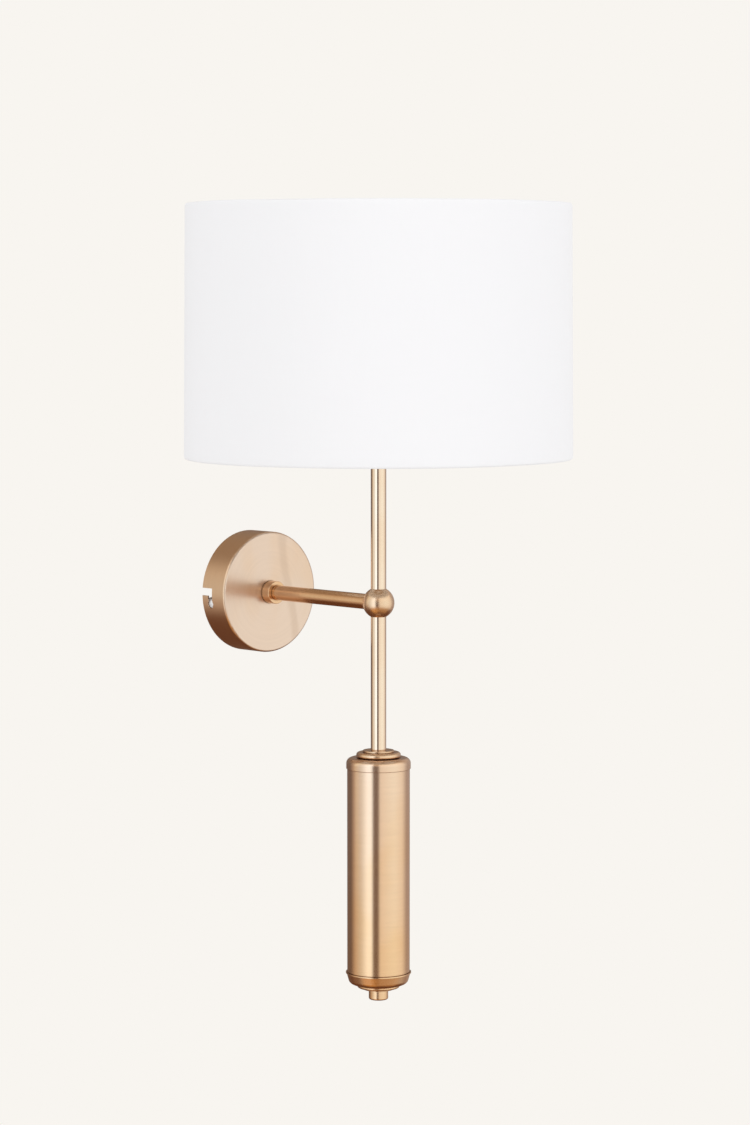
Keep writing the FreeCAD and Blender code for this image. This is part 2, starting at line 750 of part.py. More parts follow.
def ballast_nuts():
    nuts = []
    for start in (BALLAST_LOW - BALLAST_NUT - BALLAST_GAP, BALLAST_LOW + BALLAST_LENGTH + BALLAST_GAP):
        nut = hexagon(NUT_FLATS, 0, BALLAST_NUT)
        nut.rotate(ORIGIN, X_AXIS, -90)
        thread = rod(Z_AXIS * -THROUGH, Z_AXIS * (BALLAST_NUT + THROUGH), PIPE_R + THREAD_GAP)
        nut = nut.cut(thread)
        nut.translate(Vector(0, -REACH, start))
        nuts.append(nut)
    return together(nuts)


def counterweight():
    ballast_top = BALLAST_LOW + BALLAST_LENGTH
    return {
        "weight_neck_disc": neck_disc(NECK_TOP, NECK_STEP),
        "weight_neck_ring": bead_ring(NECK_RING_R, NECK_STEP, CAP_TOP),
        "weight_top_cap": weight_top_cap(),
        "weight_tube": on_stem(tube(WEIGHT_R - WEIGHT_WALL, WEIGHT_R, TUBE_FOOT, TUBE_TOP)),
        "ballast": on_stem(tube(PIPE_R + PIPE_GAP, BALLAST_R, BALLAST_LOW, ballast_top)),
        "ballast_nuts": ballast_nuts(),
        "weight_bottom_cap": weight_bottom_cap(),
        "weight_foot_ring": bead_ring(FOOT_RING_R, BOWL_FOOT, FOOT_RING),
        "weight_foot_disc": neck_disc(FOOT_RING, KNOB_TOP),
        "finial_knob": finial_knob(),
    }


# ---- the lampholder ----

def holder_cap():
    """Cup that screws down on the stem's pipe and clamps the upper tube on the ball."""
    thread = PIPE_R + THREAD_GAP
    bend = 6.2
    bend_at = (HOLDER_CAP_R - bend, STEM_TOP + HOLDER_NECK + 0.5 + bend)
    floor = STEM_TOP + HOLDER_FLOOR
    return on_stem([
        (thread, STEM_TOP),
        (HOLDER_NECK_R, STEM_TOP),
        (HOLDER_NECK_R, STEM_TOP + HOLDER_NECK),
        (HOLDER_CAP_R - bend, STEM_TOP + HOLDER_NECK + 0.5),
        quarter(bend_at, bend, -90, 0),
        (HOLDER_CAP_R, HOLDER_CAP_TOP),
        (HOLDER_CAP_BORE, HOLDER_CAP_TOP),
        (HOLDER_CAP_BORE, floor + 4.6),
        ("arc", (HOLDER_CAP_BORE - 1.8, floor + 1.2), (HOLDER_CAP_BORE - 5.6, floor)),
        (thread, floor),
    ])


def holder_sleeve():
    """Threaded sleeve whose flange carries the shade."""
    return on_stem([
        (HOLDER_BORE, SLEEVE_FOOT),
        (HOLDER_R, SLEEVE_FOOT),
        (HOLDER_R, FLANGE_LOW),
        (FLANGE_R, FLANGE_LOW),
        (FLANGE_R, FLANGE_HIGH),
        (HOLDER_R, FLANGE_HIGH),
        (HOLDER_R, SLEEVE_TOP - SOFT_EDGE),
        (HOLDER_R - SOFT_EDGE, SLEEVE_TOP),
        (HOLDER_BORE, SLEEVE_TOP),
    ])


def beside_stem(x, height):
    return out(x, REACH, height)


def holder_insert():
    body = on_stem([(0, INSERT_FOOT), (CERAMIC_R, INSERT_FOOT), (CERAMIC_R, INSERT_TOP), (0, INSERT_TOP)])
    for x in (-TERMINAL_AT, TERMINAL_AT):
        low = beside_stem(x, INSERT_FOOT - THROUGH)
        body = body.cut(rod(low, beside_stem(x, INSERT_TOP + THROUGH), TERMINAL_HOLE_R))
    return body


def holder_terminals():
    pins = []
    for x in (-TERMINAL_AT, TERMINAL_AT):
        pins.append(rod(beside_stem(x, TERMINAL_FOOT), beside_stem(x, INSERT_TOP), TERMINAL_R))
    return together(pins)


def holder_screw_shell():
    return on_stem([
        (SHELL_HOLE_R, SHELL_FOOT),
        (SHELL_R, SHELL_FOOT),
        (SHELL_R, SHELL_TOP),
        (SHELL_BORE, SHELL_TOP),
        (SHELL_BORE, SHELL_FOOT + SHELL_WALL),
        (SHELL_HOLE_R, SHELL_FOOT + SHELL_WALL),
    ])


def holder_centre_contact():
    foot = INSERT_TOP + 0.05
    return on_stem([
        (0, foot),
        (CONTACT_R, foot),
        (CONTACT_R, foot + 0.5),
        (CONTACT_TIP_R, CONTACT_TOP),
        (0, CONTACT_TOP),
    ])


def holder_cores():
    cores = []
    for x, start_x in ((-TERMINAL_AT, -1.0), (TERMINAL_AT, 1.0)):
        route = [
            beside_stem(start_x, STEM_PIPE_TOP),
            beside_stem(start_x, STEM_PIPE_TOP + 2.4),
            beside_stem(x, TERMINAL_FOOT - 2.6),
            beside_stem(x, TERMINAL_FOOT),
        ]
        cores.append(wire_along(route, CORE_R, 1.4))
    return together(cores)


# ---- the lamp ----

def lamp_foot():
    """The lamp's contact and the black insulator above it."""
    tip_top = LAMP_TIP + TIP_HEIGHT
    insulator_top = tip_top + INSULATOR_HEIGHT - 0.85
    contact = [
        (0, LAMP_TIP),
        (TIP_R - 0.8, LAMP_TIP),
        (TIP_R, LAMP_TIP + 0.6),
        (TIP_R, tip_top),
        (0, tip_top),
    ]
    insulator = [(0, tip_top), (TIP_R + 0.2, tip_top), (INSULATOR_R, insulator_top), (0, insulator_top)]
    return {"lamp_contact": on_stem(contact), "lamp_insulator": on_stem(insulator)}


def lamp_cap(foot, top):
    """Thin screw cap with a cone at its foot."""
    inner_r = LAMP_CAP_R - LAMP_CAP_WALL
    floor = foot + SHELL_WALL
    return on_stem([
        (LAMP_CAP_HOLE_R, foot),
        (LAMP_CAP_R - 2.6, foot),
        (LAMP_CAP_R, foot + 2.4),
        (LAMP_CAP_R, top),
        (inner_r, top),
        (inner_r, floor + 2.0),
        (LAMP_CAP_R - 2.8, floor),
        (LAMP_CAP_HOLE_R, floor),
    ])


def lamp_globe(foot_r):
    inner_r = GLOBE_R - GLOBE_WALL
    inner_foot_r = math.sqrt(inner_r ** 2 - (GLOBE_AT - GLOBE_FOOT) ** 2)
    return on_stem([
        (foot_r, GLOBE_FOOT),
        ("arc", (GLOBE_R, GLOBE_AT), (0, GLOBE_AT + GLOBE_R)),
        (0, GLOBE_AT + inner_r),
        ("arc", (inner_r, GLOBE_AT), (inner_foot_r, GLOBE_FOOT)),
    ])


def lamp():
    cap_foot = LAMP_TIP + TIP_HEIGHT + INSULATOR_HEIGHT - 0.8
    cap_top = cap_foot + 0.8 + LAMP_CAP_HEIGHT
    housing_r = LAMP_CAP_R + 0.2
    housing_foot = cap_top + LAMP_GAP
    foot_r = math.sqrt(GLOBE_R ** 2 - (GLOBE_AT - GLOBE_FOOT) ** 2)
    housing = [
        (0, housing_foot),
        (housing_r, housing_foot),
        (housing_r, cap_top + 2),
        ("arc", (housing_r + 7, cap_top + 19), (foot_r, GLOBE_FOOT - LAMP_GAP)),
        (0, GLOBE_FOOT - LAMP_GAP),
    ]
    nodes = lamp_foot()
    nodes["lamp_cap"] = lamp_cap(cap_foot, cap_top)
    nodes["lamp_housing"] = on_stem(housing)
    nodes["lamp_globe"] = lamp_globe(foot_r)
    return nodes


# ---- the shade ----

def cone_r(height):
    """Outer radius of the shade's fabric at a height."""
    share = (height - SHADE_LOW) / (SHADE_HIGH - SHADE_LOW)
    return SHADE_R_LOW + share * (SHADE_R_HIGH - SHADE_R_LOW)


def shade_fabric():
    low = SHADE_LOW
    high = SHADE_HIGH
    return on_stem([
        (cone_r(low) - SHADE_LIP, low),
        (cone_r(low), low),
        (cone_r(high), high),
        (cone_r(high) - SHADE_LIP, high),
        (cone_r(high) - SHADE_LIP, high - FABRIC_TURN),
        (cone_r(high - FABRIC_TURN) - FABRIC, high - FABRIC_TURN),
        (cone_r(low + FABRIC_TURN) - FABRIC, low + FABRIC_TURN),
        (cone_r(low) - SHADE_LIP, low + FABRIC_TURN),
    ])


def shade_liner():
    low = SHADE_LOW + FABRIC_TURN + WASHER_GAP
    high = SHADE_HIGH - FABRIC_TURN - WASHER_GAP
    skin = FABRIC + LINER_GAP
    return on_stem([
        (cone_r(low) - skin, low),
        (cone_r(high) - skin, high),
        (cone_r(high) - skin - LINER, high),
        (cone_r(low) - skin - LINER, low),
    ])


def wire_center(height):
    return cone_r(height) - FABRIC - LINER - WIRE_GAP - WIRE_R


def wire_ring(height):
    ring = Part.makeTorus(wire_center(height), WIRE_R)
    ring.translate(out(0, REACH, height))
    return ring


def shade_spider():
    """Fitter ring and three spokes, welded to the lower wire ring."""
    height = SHADE_LOW + WIRE_INSET + WIRE_R
    middle = (FITTER_LOW + FITTER_HIGH) / 2
    near_r = FITTER_R - 1
    far_r = wire_center(height)
    spider = wire_ring(height).fuse(on_stem(tube(FITTER_BORE, FITTER_R, FITTER_LOW, FITTER_HIGH)))
    for angle in (90, 210, 330):
        turn = math.radians(angle)
        near = out(near_r * math.cos(turn), REACH - near_r * math.sin(turn), middle)
        far = out(far_r * math.cos(turn), REACH - far_r * math.sin(turn), height)
        spider = spider.fuse(rod(near, far, WIRE_R))
    return spider


def shade_ring():
    """Ribbed nut that clamps the fitter ring on the lampholder's flange."""
    ring = on_stem(tube(HOLDER_R + TUBE_GAP * 10, SHADE_RING_R, SHADE_RING_LOW, SHADE_RING_HIGH))
    for k in range(RING_RIBS):
        turn = 2 * math.pi * k / RING_RIBS
        foot = out(RIB_AT * math.cos(turn), REACH + RIB_AT * math.sin(turn), SHADE_RING_LOW + 1.4)
        ring = ring.cut(rod(foot, foot + Z_AXIS * (SHADE_RING_HIGH - SHADE_RING_LOW), RIB_GROOVE_R))
    return ring


def all_nodes():
    nodes = {
        "wall_bracket": wall_bracket(),
        "bracket_side_screws": bracket_side_screws(),
        "terminal_block": terminal_block(),
        "terminal_inserts": terminal_inserts(),
        "terminal_screws": terminal_screws(),
        "earth_tag": earth_tag(),
        "earth_screw": earth_screw(),
        "canopy": canopy(),
        "stop_pin": stop_pin(),
        "flex_in_canopy": flex_in_canopy(),
        "canopy_cores": canopy_cores(),
        "earth_lead": earth_lead(),
        "holder_cap": holder_cap(),
        "holder_sleeve": holder_sleeve(),
        "holder_insert": holder_insert(),
        "holder_terminals": holder_terminals(),
        "holder_screw_shell": holder_screw_shell(),
        "holder_centre_contact": holder_centre_contact(),
        "holder_cores": holder_cores(),
        "shade_fabric": shade_fabric(),
        "shade_liner": shade_liner(),
        "shade_spider": shade_spider(),
        "shade_top_wire": wire_ring(SHADE_HIGH - WIRE_INSET - WIRE_R),
        "shade_ring": shade_ring(),
    }
    nodes.update(swivel_stack())
    nodes.update(stem_and_arm())
    nodes.update(counterweight())
    nodes.update(lamp())
    return nodes


def main():
    os.makedirs("parts", exist_ok=True)
    for name, shape in all_nodes().items():
        if not shape.isValid():
            raise ValueError(name + " isn't a valid shape")
        shape.exportStep("parts/" + name + ".step")
        print(name, "solids", len(shape.Solids), "volume", round(shape.Volume, 1))


main()
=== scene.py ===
"""Looks of the wall sconce: finishes, drum shade, threads, globe, light and camera.

Metres, in the frame of the CAD model: the wall is the plane y = 0, the stem's axis is upright
through the ball's centre, and +Z is up.
"""

import json
import math

import bpy
from mathutils import Matrix, Vector
from mathutils import noise


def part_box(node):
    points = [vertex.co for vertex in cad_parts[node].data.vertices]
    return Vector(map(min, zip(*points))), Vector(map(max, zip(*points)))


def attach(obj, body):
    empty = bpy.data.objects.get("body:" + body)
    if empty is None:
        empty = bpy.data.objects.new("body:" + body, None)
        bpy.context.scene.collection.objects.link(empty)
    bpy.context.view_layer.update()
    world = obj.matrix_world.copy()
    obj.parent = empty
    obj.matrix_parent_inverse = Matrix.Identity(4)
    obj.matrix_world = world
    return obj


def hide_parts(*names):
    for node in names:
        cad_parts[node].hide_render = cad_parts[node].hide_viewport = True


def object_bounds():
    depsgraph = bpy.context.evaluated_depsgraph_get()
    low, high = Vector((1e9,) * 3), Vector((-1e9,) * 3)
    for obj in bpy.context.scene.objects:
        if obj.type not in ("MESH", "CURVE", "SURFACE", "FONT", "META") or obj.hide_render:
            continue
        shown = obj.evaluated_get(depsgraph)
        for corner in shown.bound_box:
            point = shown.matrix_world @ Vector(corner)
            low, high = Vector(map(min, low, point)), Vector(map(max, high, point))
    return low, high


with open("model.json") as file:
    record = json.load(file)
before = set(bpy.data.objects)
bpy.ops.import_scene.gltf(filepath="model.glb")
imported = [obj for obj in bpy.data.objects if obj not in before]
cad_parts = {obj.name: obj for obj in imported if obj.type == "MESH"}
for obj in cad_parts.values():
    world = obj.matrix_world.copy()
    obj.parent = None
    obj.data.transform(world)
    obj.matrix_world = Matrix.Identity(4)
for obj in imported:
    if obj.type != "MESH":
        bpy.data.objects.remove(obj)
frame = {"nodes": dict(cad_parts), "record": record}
cad_low, cad_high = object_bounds()

MM = 0.001
TURN = 2 * math.pi

# The stem's axis, from the lower tube's box
tube_low, tube_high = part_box("stem_lower_tube")
STEM_X = (tube_low[0] + tube_high[0]) / 2
STEM_Y = (tube_low[1] + tube_high[1]) / 2

# Camera, as it stands to the ball's centre
CAMERA_TURN = -43.1       # degrees round the stem from straight in front, to the left
CAMERA_DISTANCE = 2.5654  # level distance from the stem
CAMERA_RISE = 0.2413      # above the ball's centre
CAMERA_PITCH = -4.68      # degrees
CAMERA_YAW = 0.061        # degrees, to the left of the stem
CAMERA_LENS = 106.46      # mm, on a 36 mm long side

# Finish of the brass, and the painted shade in its creases
BRASS_PALE = (0.83, 0.61, 0.46)
BRASS_GOLD = (0.83, 0.55, 0.33)
BRASS_CREASE_SHADE = (0.34, 0.18, 0.09)

# Backdrop that the camera sees
PAPER_WHITE = (0.939, 0.913, 0.871)


# ---- materials ----

class Maker:
    """Adds nodes to one material, with its sockets set or linked by name."""

    def __init__(self, name):
        self.material = bpy.data.materials.new(name)
        self.material.use_nodes = True
        self.tree = self.material.node_tree
        self.shader = self.tree.nodes["Principled BSDF"]

    def node(self, kind, settings=None, **sockets):
        made = self.tree.nodes.new(kind)
        for key, value in (settings or {}).items():
            setattr(made, key, value)
        for name, value in sockets.items():
            self.set(made, name.replace("_", " "), value)
        return made

    def set(self, node, socket, value):
        target = node.inputs[socket]
        if isinstance(value, bpy.types.NodeSocket):
            self.tree.links.new(value, target)
        else:
            target.default_value = value

    def principled(self, **sockets):
        for name, value in sockets.items():
            self.set(self.shader, name.replace("_", " "), value)

    def coordinates(self, scale=(1, 1, 1)):
        """The object's own coordinates in metres, scaled."""
        place = self.node("ShaderNodeTexCoord")
        mapping = self.node("ShaderNodeMapping", Vector=place.outputs["Object"], Scale=scale)
        return mapping.outputs["Vector"]

    def math(self, operation, a, b=0.0):
        made = self.node("ShaderNodeMath", {"operation": operation})
        self.set(made, 0, a)
        self.set(made, 1, b)
        return made.outputs[0]

    def noise(self, vector, scale, detail=3.0, roughness=0.5):
        made = self.node(
            "ShaderNodeTexNoise", Vector=vector, Scale=scale, Detail=detail, Roughness=roughness)
        return made.outputs["Fac"]

    def ramp(self, value, low, high):
        """value from 0..1 to low..high, without going past them."""
        made = self.node("ShaderNodeMapRange", Value=value, To_Min=low, To_Max=high)
        made.clamp = True
        return made.outputs["Result"]

    def steep(self, value, start, end):
        """0 below start and 1 above end."""
        made = self.node("ShaderNodeMapRange", {"interpolation_type": "SMOOTHSTEP"}, Value=value)
        made.inputs["From Min"].default_value = start
        made.inputs["From Max"].default_value = end
        return made.outputs["Result"]

    def mix(self, share, a, b):
        """Colour a at share 0 and colour b at share 1. The node's sockets 6, 7 and 2 are its colours."""
        made = self.node("ShaderNodeMix", {"data_type": "RGBA"})
        self.set(made, 0, share)
        self.set(made, 6, a if isinstance(a, bpy.types.NodeSocket) else (*a, 1))
        self.set(made, 7, b if isinstance(b, bpy.types.NodeSocket) else (*b, 1))
        return made.outputs[2]

    def shade_in_creases(self, color, dark):
        """color, going to dark in the creases where two parts meet: painted shade from ambient
        occlusion, standing also for patina in the joints.
        """
        opened = self.node("ShaderNodeAmbientOcclusion", {"samples": 6}, Distance=1.6 * MM)
        return self.mix(self.steep(opened.outputs["AO"], 0.40, 0.88), dark, color)

    def bump(self, height, distance, strength):
        made = self.node("ShaderNodeBump", Height=height, Distance=distance, Strength=strength)
        return made.outputs["Normal"]


def brass(name, axis, center, roughness, brushing, pale, gold, rim_from=1.0, painted_streak=False):
    """Satin brass, brushed round an axis through center.

    It goes from pale to gold towards the counterweight's foot, in patches, and past the radius rim_from.
    """
    m = Maker(name)
    place = m.node("ShaderNodeTexCoord").outputs["Object"]
    shifted = m.node("ShaderNodeVectorMath", {"operation": "SUBTRACT"})
    m.set(shifted, 0, place)
    m.set(shifted, 1, center)
    parts = m.node("ShaderNodeSeparateXYZ", Vector=shifted.outputs[0])
    across = {"Z": ("X", "Y", "Z"), "Y": ("X", "Z", "Y")}[axis]
    u, v, along = (parts.outputs[k] for k in across)
    radius = m.math("SQRT", m.math("ADD", m.math("MULTIPLY", u, u), m.math("MULTIPLY", v, v)))
    angle = m.math("ARCTAN2", v, u)
    # Brush lines run round the axis: they vary fast along it and across it, and slowly with the angle.
    fine_scale = 3200.0
    wide_scale = 620.0
    lines = m.node("ShaderNodeCombineXYZ", X=m.math("MULTIPLY", angle, 1.1), Y=along, Z=radius)
    fine_lines = m.node(
        "ShaderNodeMapping", Vector=lines.outputs[0], Scale=(1.0, fine_scale, fine_scale))
    fine = m.noise(fine_lines.outputs["Vector"], 1.0, 4.0, 0.65)
    wide_lines = m.node(
        "ShaderNodeMapping", Vector=lines.outputs[0], Scale=(0.7, wide_scale, wide_scale))
    wide = m.noise(wide_lines.outputs["Vector"], 1.0, 3.0, 0.6)
    patches = m.noise(m.coordinates((1.0, 1.0, 0.6)), 30.0, 2.0, 0.5)
    # The colour goes to gold towards the foot of the counterweight, in soft patches, and past the radius
    # rim_from.
    height = m.node("ShaderNodeSeparateXYZ", Vector=place).outputs["Z"]
    low_down = m.steep(m.math("MULTIPLY", height, -1.0), 0.10, 0.30)
    in_patches = m.ramp(m.steep(patches, 0.42, 0.72), 0.0, 0.45)
    gold_share = m.math("ADD", m.math("MULTIPLY", low_down, 0.75), in_patches)
    gold_share = m.math("ADD", gold_share, m.steep(radius, rim_from, rim_from + 0.8 * MM))
    tone = m.mix(m.ramp(gold_share, 0.0, 1.0), pale, gold)
    if painted_streak:
        # A painted reflection down the plate: a soft, slightly slanting darker band, right of the arm.
        slant = m.math("ADD", u, m.math("MULTIPLY", v, 0.155))
        wander = m.math("MULTIPLY", m.math("SUBTRACT", patches, 0.5), 14 * MM)
        aside = m.math("ABSOLUTE", m.math("SUBTRACT", m.math("ADD", slant, wander), 20 * MM))
        band = m.math("SUBTRACT", 1.0, m.steep(aside, 1.5 * MM, 6.5 * MM))
        tone = m.mix(m.math("MULTIPLY", band, 0.42), tone, (0.62, 0.46, 0.36))
    line_tone = m.ramp(wide, 0.95, 1.04)
    lined = m.node("ShaderNodeVectorMath", {"operation": "SCALE"})
    m.set(lined, 0, tone)
    m.set(lined, "Scale", line_tone)
    rough = m.ramp(fine, roughness - 0.03, roughness + 0.03)
    rough = m.math("ADD", rough, m.ramp(patches, -0.012, 0.012))
    tangent = m.node("ShaderNodeTangent", {"direction_type": "RADIAL", "axis": axis})
    # The base colour goes dark in the creases between parts: painted shade.
    m.principled(
        Base_Color=m.shade_in_creases(lined.outputs[0], BRASS_CREASE_SHADE), Metallic=1.0, Roughness=rough,
        Anisotropic=brushing, Anisotropic_Rotation=0.25, Tangent=tangent.outputs[0],
        Normal=m.bump(fine, 0.012 * MM, 0.5),
    )
    return m.material


def plain_metal(name, color, roughness, spangle=0.1, grain=900.0, metallic=1.0):
    """Plated steel, nickel or plain brass: fine grain in its roughness, colour and surface."""
    m = Maker(name)
    fine = m.noise(m.coordinates(), grain, 4.0, 0.6)
    cloudy = m.noise(m.coordinates(), 120.0, 3.0, 0.5)
    dark = tuple(c * (1 - spangle) for c in color)
    m.principled(
        Base_Color=m.mix(cloudy, dark, color), Metallic=metallic,
        Roughness=m.ramp(fine, roughness - 0.05, roughness + 0.07), Normal=m.bump(fine, 0.01 * MM, 0.4),
    )
    return m.material


def moulded(name, color, roughness, depth=0.02, grain=1400.0):
    """Moulded plastic, ceramic or rubber with a fine surface texture and faint clouds of tone."""
    m = Maker(name)
    fine = m.noise(m.coordinates(), grain, 3.0, 0.6)
    cloudy = m.noise(m.coordinates(), 70.0, 3.0, 0.5)
    dark = tuple(c * 0.94 for c in color)
    m.principled(
        Base_Color=m.mix(cloudy, dark, color),
        Roughness=m.ramp(fine, roughness - 0.04, roughness + 0.06),
        Normal=m.bump(fine, depth * MM, 0.5),
    )
    return m.material


def striped_by_place(name, colors, axis_point, pitch, lean):
    """Insulation whose colour goes by which of three parallel wires it is, left to right."""
    m = Maker(name)
    place = m.node("ShaderNodeTexCoord").outputs["Object"]
    parts = m.node("ShaderNodeSeparateXYZ", Vector=place)
    side = m.math("SUBTRACT", parts.outputs["X"], axis_point)
    side = m.math("ADD", side, m.math("MULTIPLY", parts.outputs["Z"], lean))
    first = m.math("LESS_THAN", side, -pitch)
    last = m.math("GREATER_THAN", side, pitch)
    fine = m.noise(m.coordinates(), 900.0, 3.0, 0.5)
    color = m.mix(first, colors[1], colors[0])
    color = m.mix(last, color, colors[2])
    m.principled(
        Base_Color=color, Roughness=m.ramp(fine, 0.36, 0.48), Normal=m.bump(fine, 0.01 * MM, 0.4),
    )
    return m.material


def weave(name, color, thread, depth):
    """Plain weave from the sheet's own flat coordinates in metres, with slubs and a soft sheen."""
    m = Maker(name)
    flat = m.node("ShaderNodeUVMap", {"uv_map": "flat"}).outputs["UV"]
    parts = m.node("ShaderNodeSeparateXYZ", Vector=flat)
    step = math.pi / thread
    warp = m.math("SINE", m.math("MULTIPLY", parts.outputs["X"], step))
    weft = m.math("SINE", m.math("MULTIPLY", parts.outputs["Y"], step))
    over = m.math("MULTIPLY", warp, weft)
    warp_body = m.math("ABSOLUTE", m.math("COSINE", m.math("MULTIPLY", parts.outputs["X"], step)))
    weft_body = m.math("ABSOLUTE", m.math("COSINE", m.math("MULTIPLY", parts.outputs["Y"], step)))
    share = m.steep(over, -0.35, 0.35)
    woven = m.math("ADD", m.math("MULTIPLY", warp_body, share),
                   m.math("MULTIPLY", weft_body, m.math("SUBTRACT", 1.0, share)))
    slub_warp = m.node("ShaderNodeMapping", Vector=flat, Scale=(900.0, 26.0, 1.0))
    slub_weft = m.node("ShaderNodeMapping", Vector=flat, Scale=(22.0, 900.0, 1.0))
    slubs_up = m.noise(slub_warp.outputs["Vector"], 1.0, 2.0)
    slubs_across = m.noise(slub_weft.outputs["Vector"], 1.0, 2.0)
    slubs = m.math("ADD", slubs_up, slubs_across)
    clouds = m.node("ShaderNodeMapping", Vector=flat, Scale=(9.0, 9.0, 1.0))
    cloudy = m.noise(clouds.outputs["Vector"], 1.0, 2.0)
    height = m.math("ADD", woven, m.math("MULTIPLY", slubs, 0.55))
    shadow = tuple(c * 0.955 for c in color)
    lightness = m.math("ADD", m.math("MULTIPLY", height, 0.42), m.math("MULTIPLY", cloudy, 0.12))
    tone = m.mix(lightness, shadow, color)
    m.principled(
        Base_Color=tone, Roughness=m.ramp(height, 0.82, 0.94), Sheen_Weight=0.08, Sheen_Roughness=0.5,
        Specular_IOR_Level=0.25, Normal=m.bump(height, depth, 0.6),
    )
    return m.material


def opal(name):
    """Milky glass with a soft gloss."""
    m = Maker(name)
    fine = m.noise(m.coordinates(), 500.0, 3.0)
    m.principled(
        Base_Color=m.mix(fine, (0.90, 0.90, 0.88), (0.95, 0.95, 0.93)),
        Roughness=m.ramp(fine, 0.20, 0.26),
        Subsurface_Weight=0.25, Subsurface_Radius=(0.004, 0.004, 0.004),
        Coat_Weight=0.25, Coat_Roughness=0.1,
    )
    return m.material


def paint(node, material):
    """Gives a CAD node one material."""
    slots = frame["nodes"][node].data.materials
    slots.clear()
    slots.append(material)


# ---- meshes ----

def mesh_piece(name, points, faces, body, material, flat_map=None):
    """A smooth-shaded piece on one body. flat_map gives each point its place on the flat sheet."""
    mesh = bpy.data.meshes.new(name)
    mesh.from_pydata([tuple(p) for p in points], [], faces)
    if flat_map:
        layer = mesh.uv_layers.new(name="flat")
        for loop in mesh.loops:
            layer.data[loop.index].uv = flat_map[loop.vertex_index]
    mesh.validate()
    mesh.update()
    piece = bpy.data.objects.new(name, mesh)
    bpy.context.scene.collection.objects.link(piece)
    mesh.materials.append(material)
    for polygon in mesh.polygons:
        polygon.use_smooth = True
    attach(piece, body)
    return piece


def sharpen(piece, degrees=40):
    """Keeps corners above this angle sharp on a smooth-shaded piece."""
    piece.data.set_sharp_from_angle(angle=math.radians(degrees))


def ring_faces(rings, sides, closed):
    """Quads between rings of points. closed joins the last ring to the first."""
    faces = []
    last = rings if closed else rings - 1
    for i in range(last):
        near = i * sides
        far = ((i + 1) % rings) * sides
        for k in range(sides):
            after = (k + 1) % sides
            faces.append((near + k, near + after, far + after, far + k))
    return faces


def threaded_tube(outline, sides, pitch, depth, span, axis_place):
    """Points and faces of a turned closed section whose outer side has a thread over span.

    outline holds (radius, height, threaded) and goes round the section. span is the thread's lowest
    and highest height, and it runs out over one pitch at each end.
    """
    points = []
    for radius, height, threaded in outline:
        for k in range(sides):
            angle = TURN * k / sides
            reach = radius
            if threaded:
                run_in = min(1.0, max(0.0, (height - span[0]) / pitch))
                run_out = min(1.0, max(0.0, (span[1] - height) / pitch))
                wave = math.cos(TURN * height / pitch - angle) - 1
                reach += depth / 2 * wave * min(run_in, run_out)
            points.append(axis_place(reach * math.cos(angle), reach * math.sin(angle), height))
    return points, ring_faces(len(outline), sides, True)


def on_stem(x, y, z):
    """Turned about the stem's axis, where the third coordinate is the height."""
    return (STEM_X + x, STEM_Y + y, z)


def on_arm(x, y, z):
    """Turned about the arm's axis, where the third coordinate is the distance out from the wall."""
    return (STEM_X + x, -z, y)


def heights(low, high, step):
    """Even heights from low to high, about step apart."""
    count = max(1, round((high - low) / step))
    return [low + (high - low) * i / count for i in range(count + 1)]


# ---- the shade ----

def uneven(angle, row, size):
    """A small wander round the shade, the same on every run."""
    spot = Vector((math.cos(angle) * 2.2, math.sin(angle) * 2.2, row * 3.7))
    return noise.noise(spot) * size


def bend(center, radius, start, end, steps):
    """Points of an arc in (radius, height), from start to end in degrees."""
    places = []
    for i in range(steps + 1):
        angle = math.radians(start + (end - start) * i / steps)
        places.append((center[0] + radius * math.cos(angle), center[1] + radius * math.sin(angle)))
    return places


